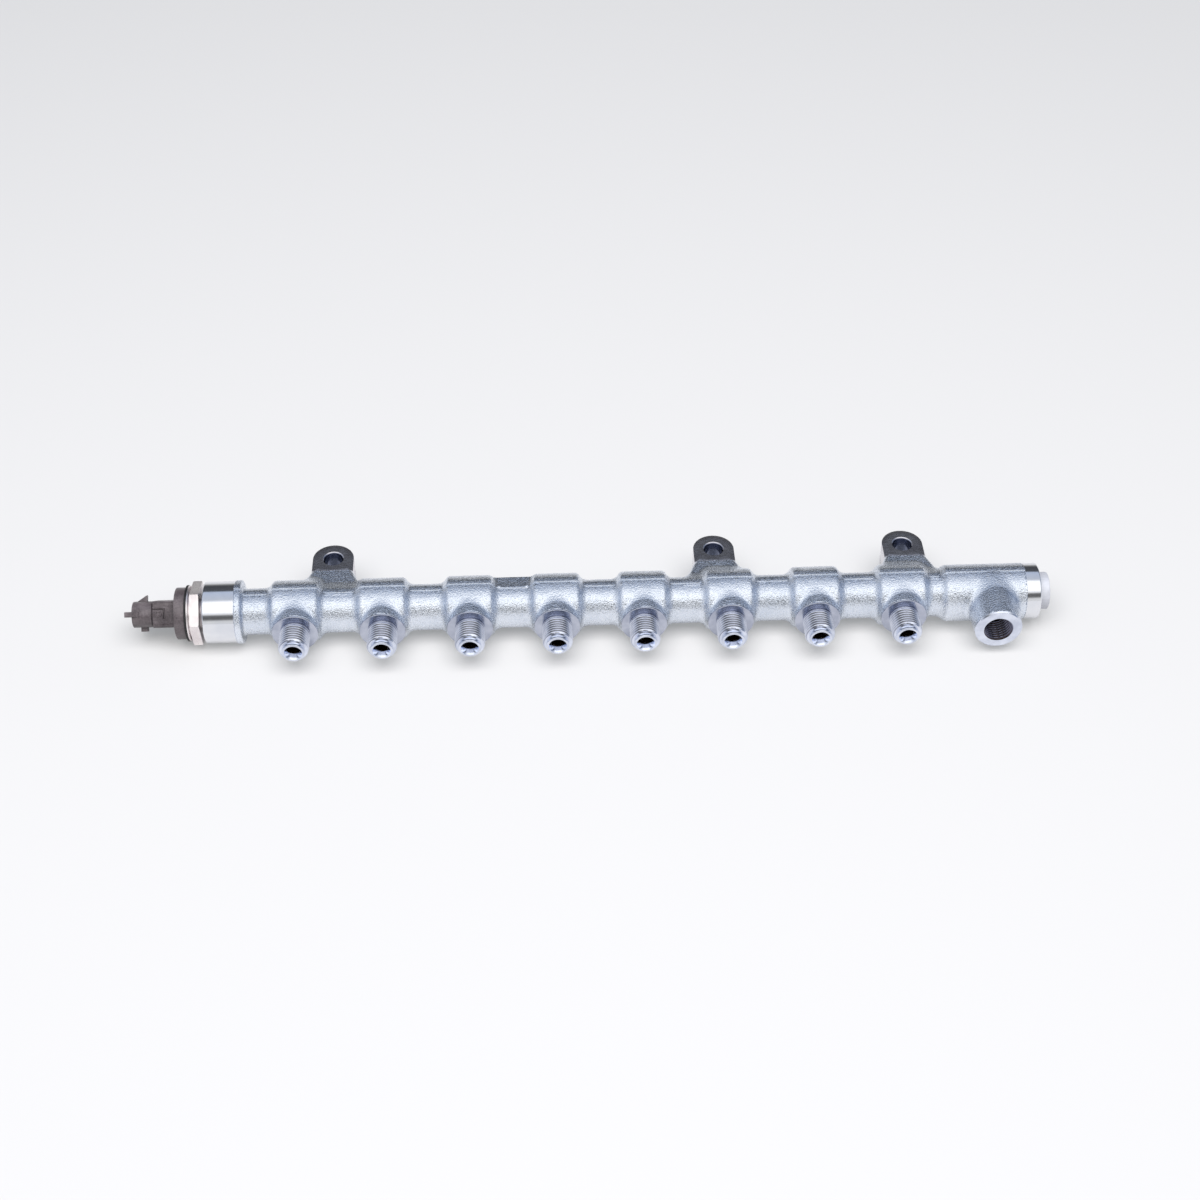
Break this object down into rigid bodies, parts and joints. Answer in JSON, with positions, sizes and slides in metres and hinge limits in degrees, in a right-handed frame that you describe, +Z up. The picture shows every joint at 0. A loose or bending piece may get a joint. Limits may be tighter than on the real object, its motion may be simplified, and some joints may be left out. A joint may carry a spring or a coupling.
{
  "type": "fuel rail",
  "caption": "Forged high-pressure fuel rail with a row of threaded outlets, bolt lugs, a large inlet boss, an end plug and a screwed-in pressure sensor with an oval connector.",
  "frame": {"origin": "on the bolt axis of the lug nearest the pressure sensor, level with the rail's bore", "axes": "+X along the rail from the sensor to the end plug, -Y the way the outlets point, +Y the way the lugs reach, +Z up through the lugs' bolt heads"},
  "size_m": [0.4324, 0.0658, 0.0306],
  "materials": {
    "forged_zinc": "zinc plated, shot blasted skin with bright turned faces",
    "plug_zinc": "satin zinc plated",
    "insert_steel": "ground hardened steel",
    "sensor_steel": "fine turned and milled",
    "cell_steel": "ground",
    "soft_iron": "plain",
    "connector_plastic": "moulded, fine satin",
    "insulator_plastic": "moulded",
    "board": "solder resist",
    "gasket_rubber": "smooth",
    "terminal_metal": "tin plated"
  },
  "bodies": {
    "root": {"rail_body": "forged_zinc", "end_plug": "plug_zinc", "sensor_body": "sensor_steel", "pressure_cell": "cell_steel", "sensor_seal": "soft_iron", "board_support": "insulator_plastic", "circuit_board": "board", "sensor_gasket": "gasket_rubber", "connector_housing": "connector_plastic", "orifice_insert_1": "insert_steel", "orifice_insert_2": "insert_steel", "orifice_insert_3": "insert_steel", "orifice_insert_4": "insert_steel", "orifice_insert_5": "insert_steel", "orifice_insert_6": "insert_steel", "orifice_insert_7": "insert_steel", "orifice_insert_8": "insert_steel", "terminal_1": "terminal_metal", "terminal_2": "terminal_metal", "terminal_3": "terminal_metal"}
  },
  "joints": []
}
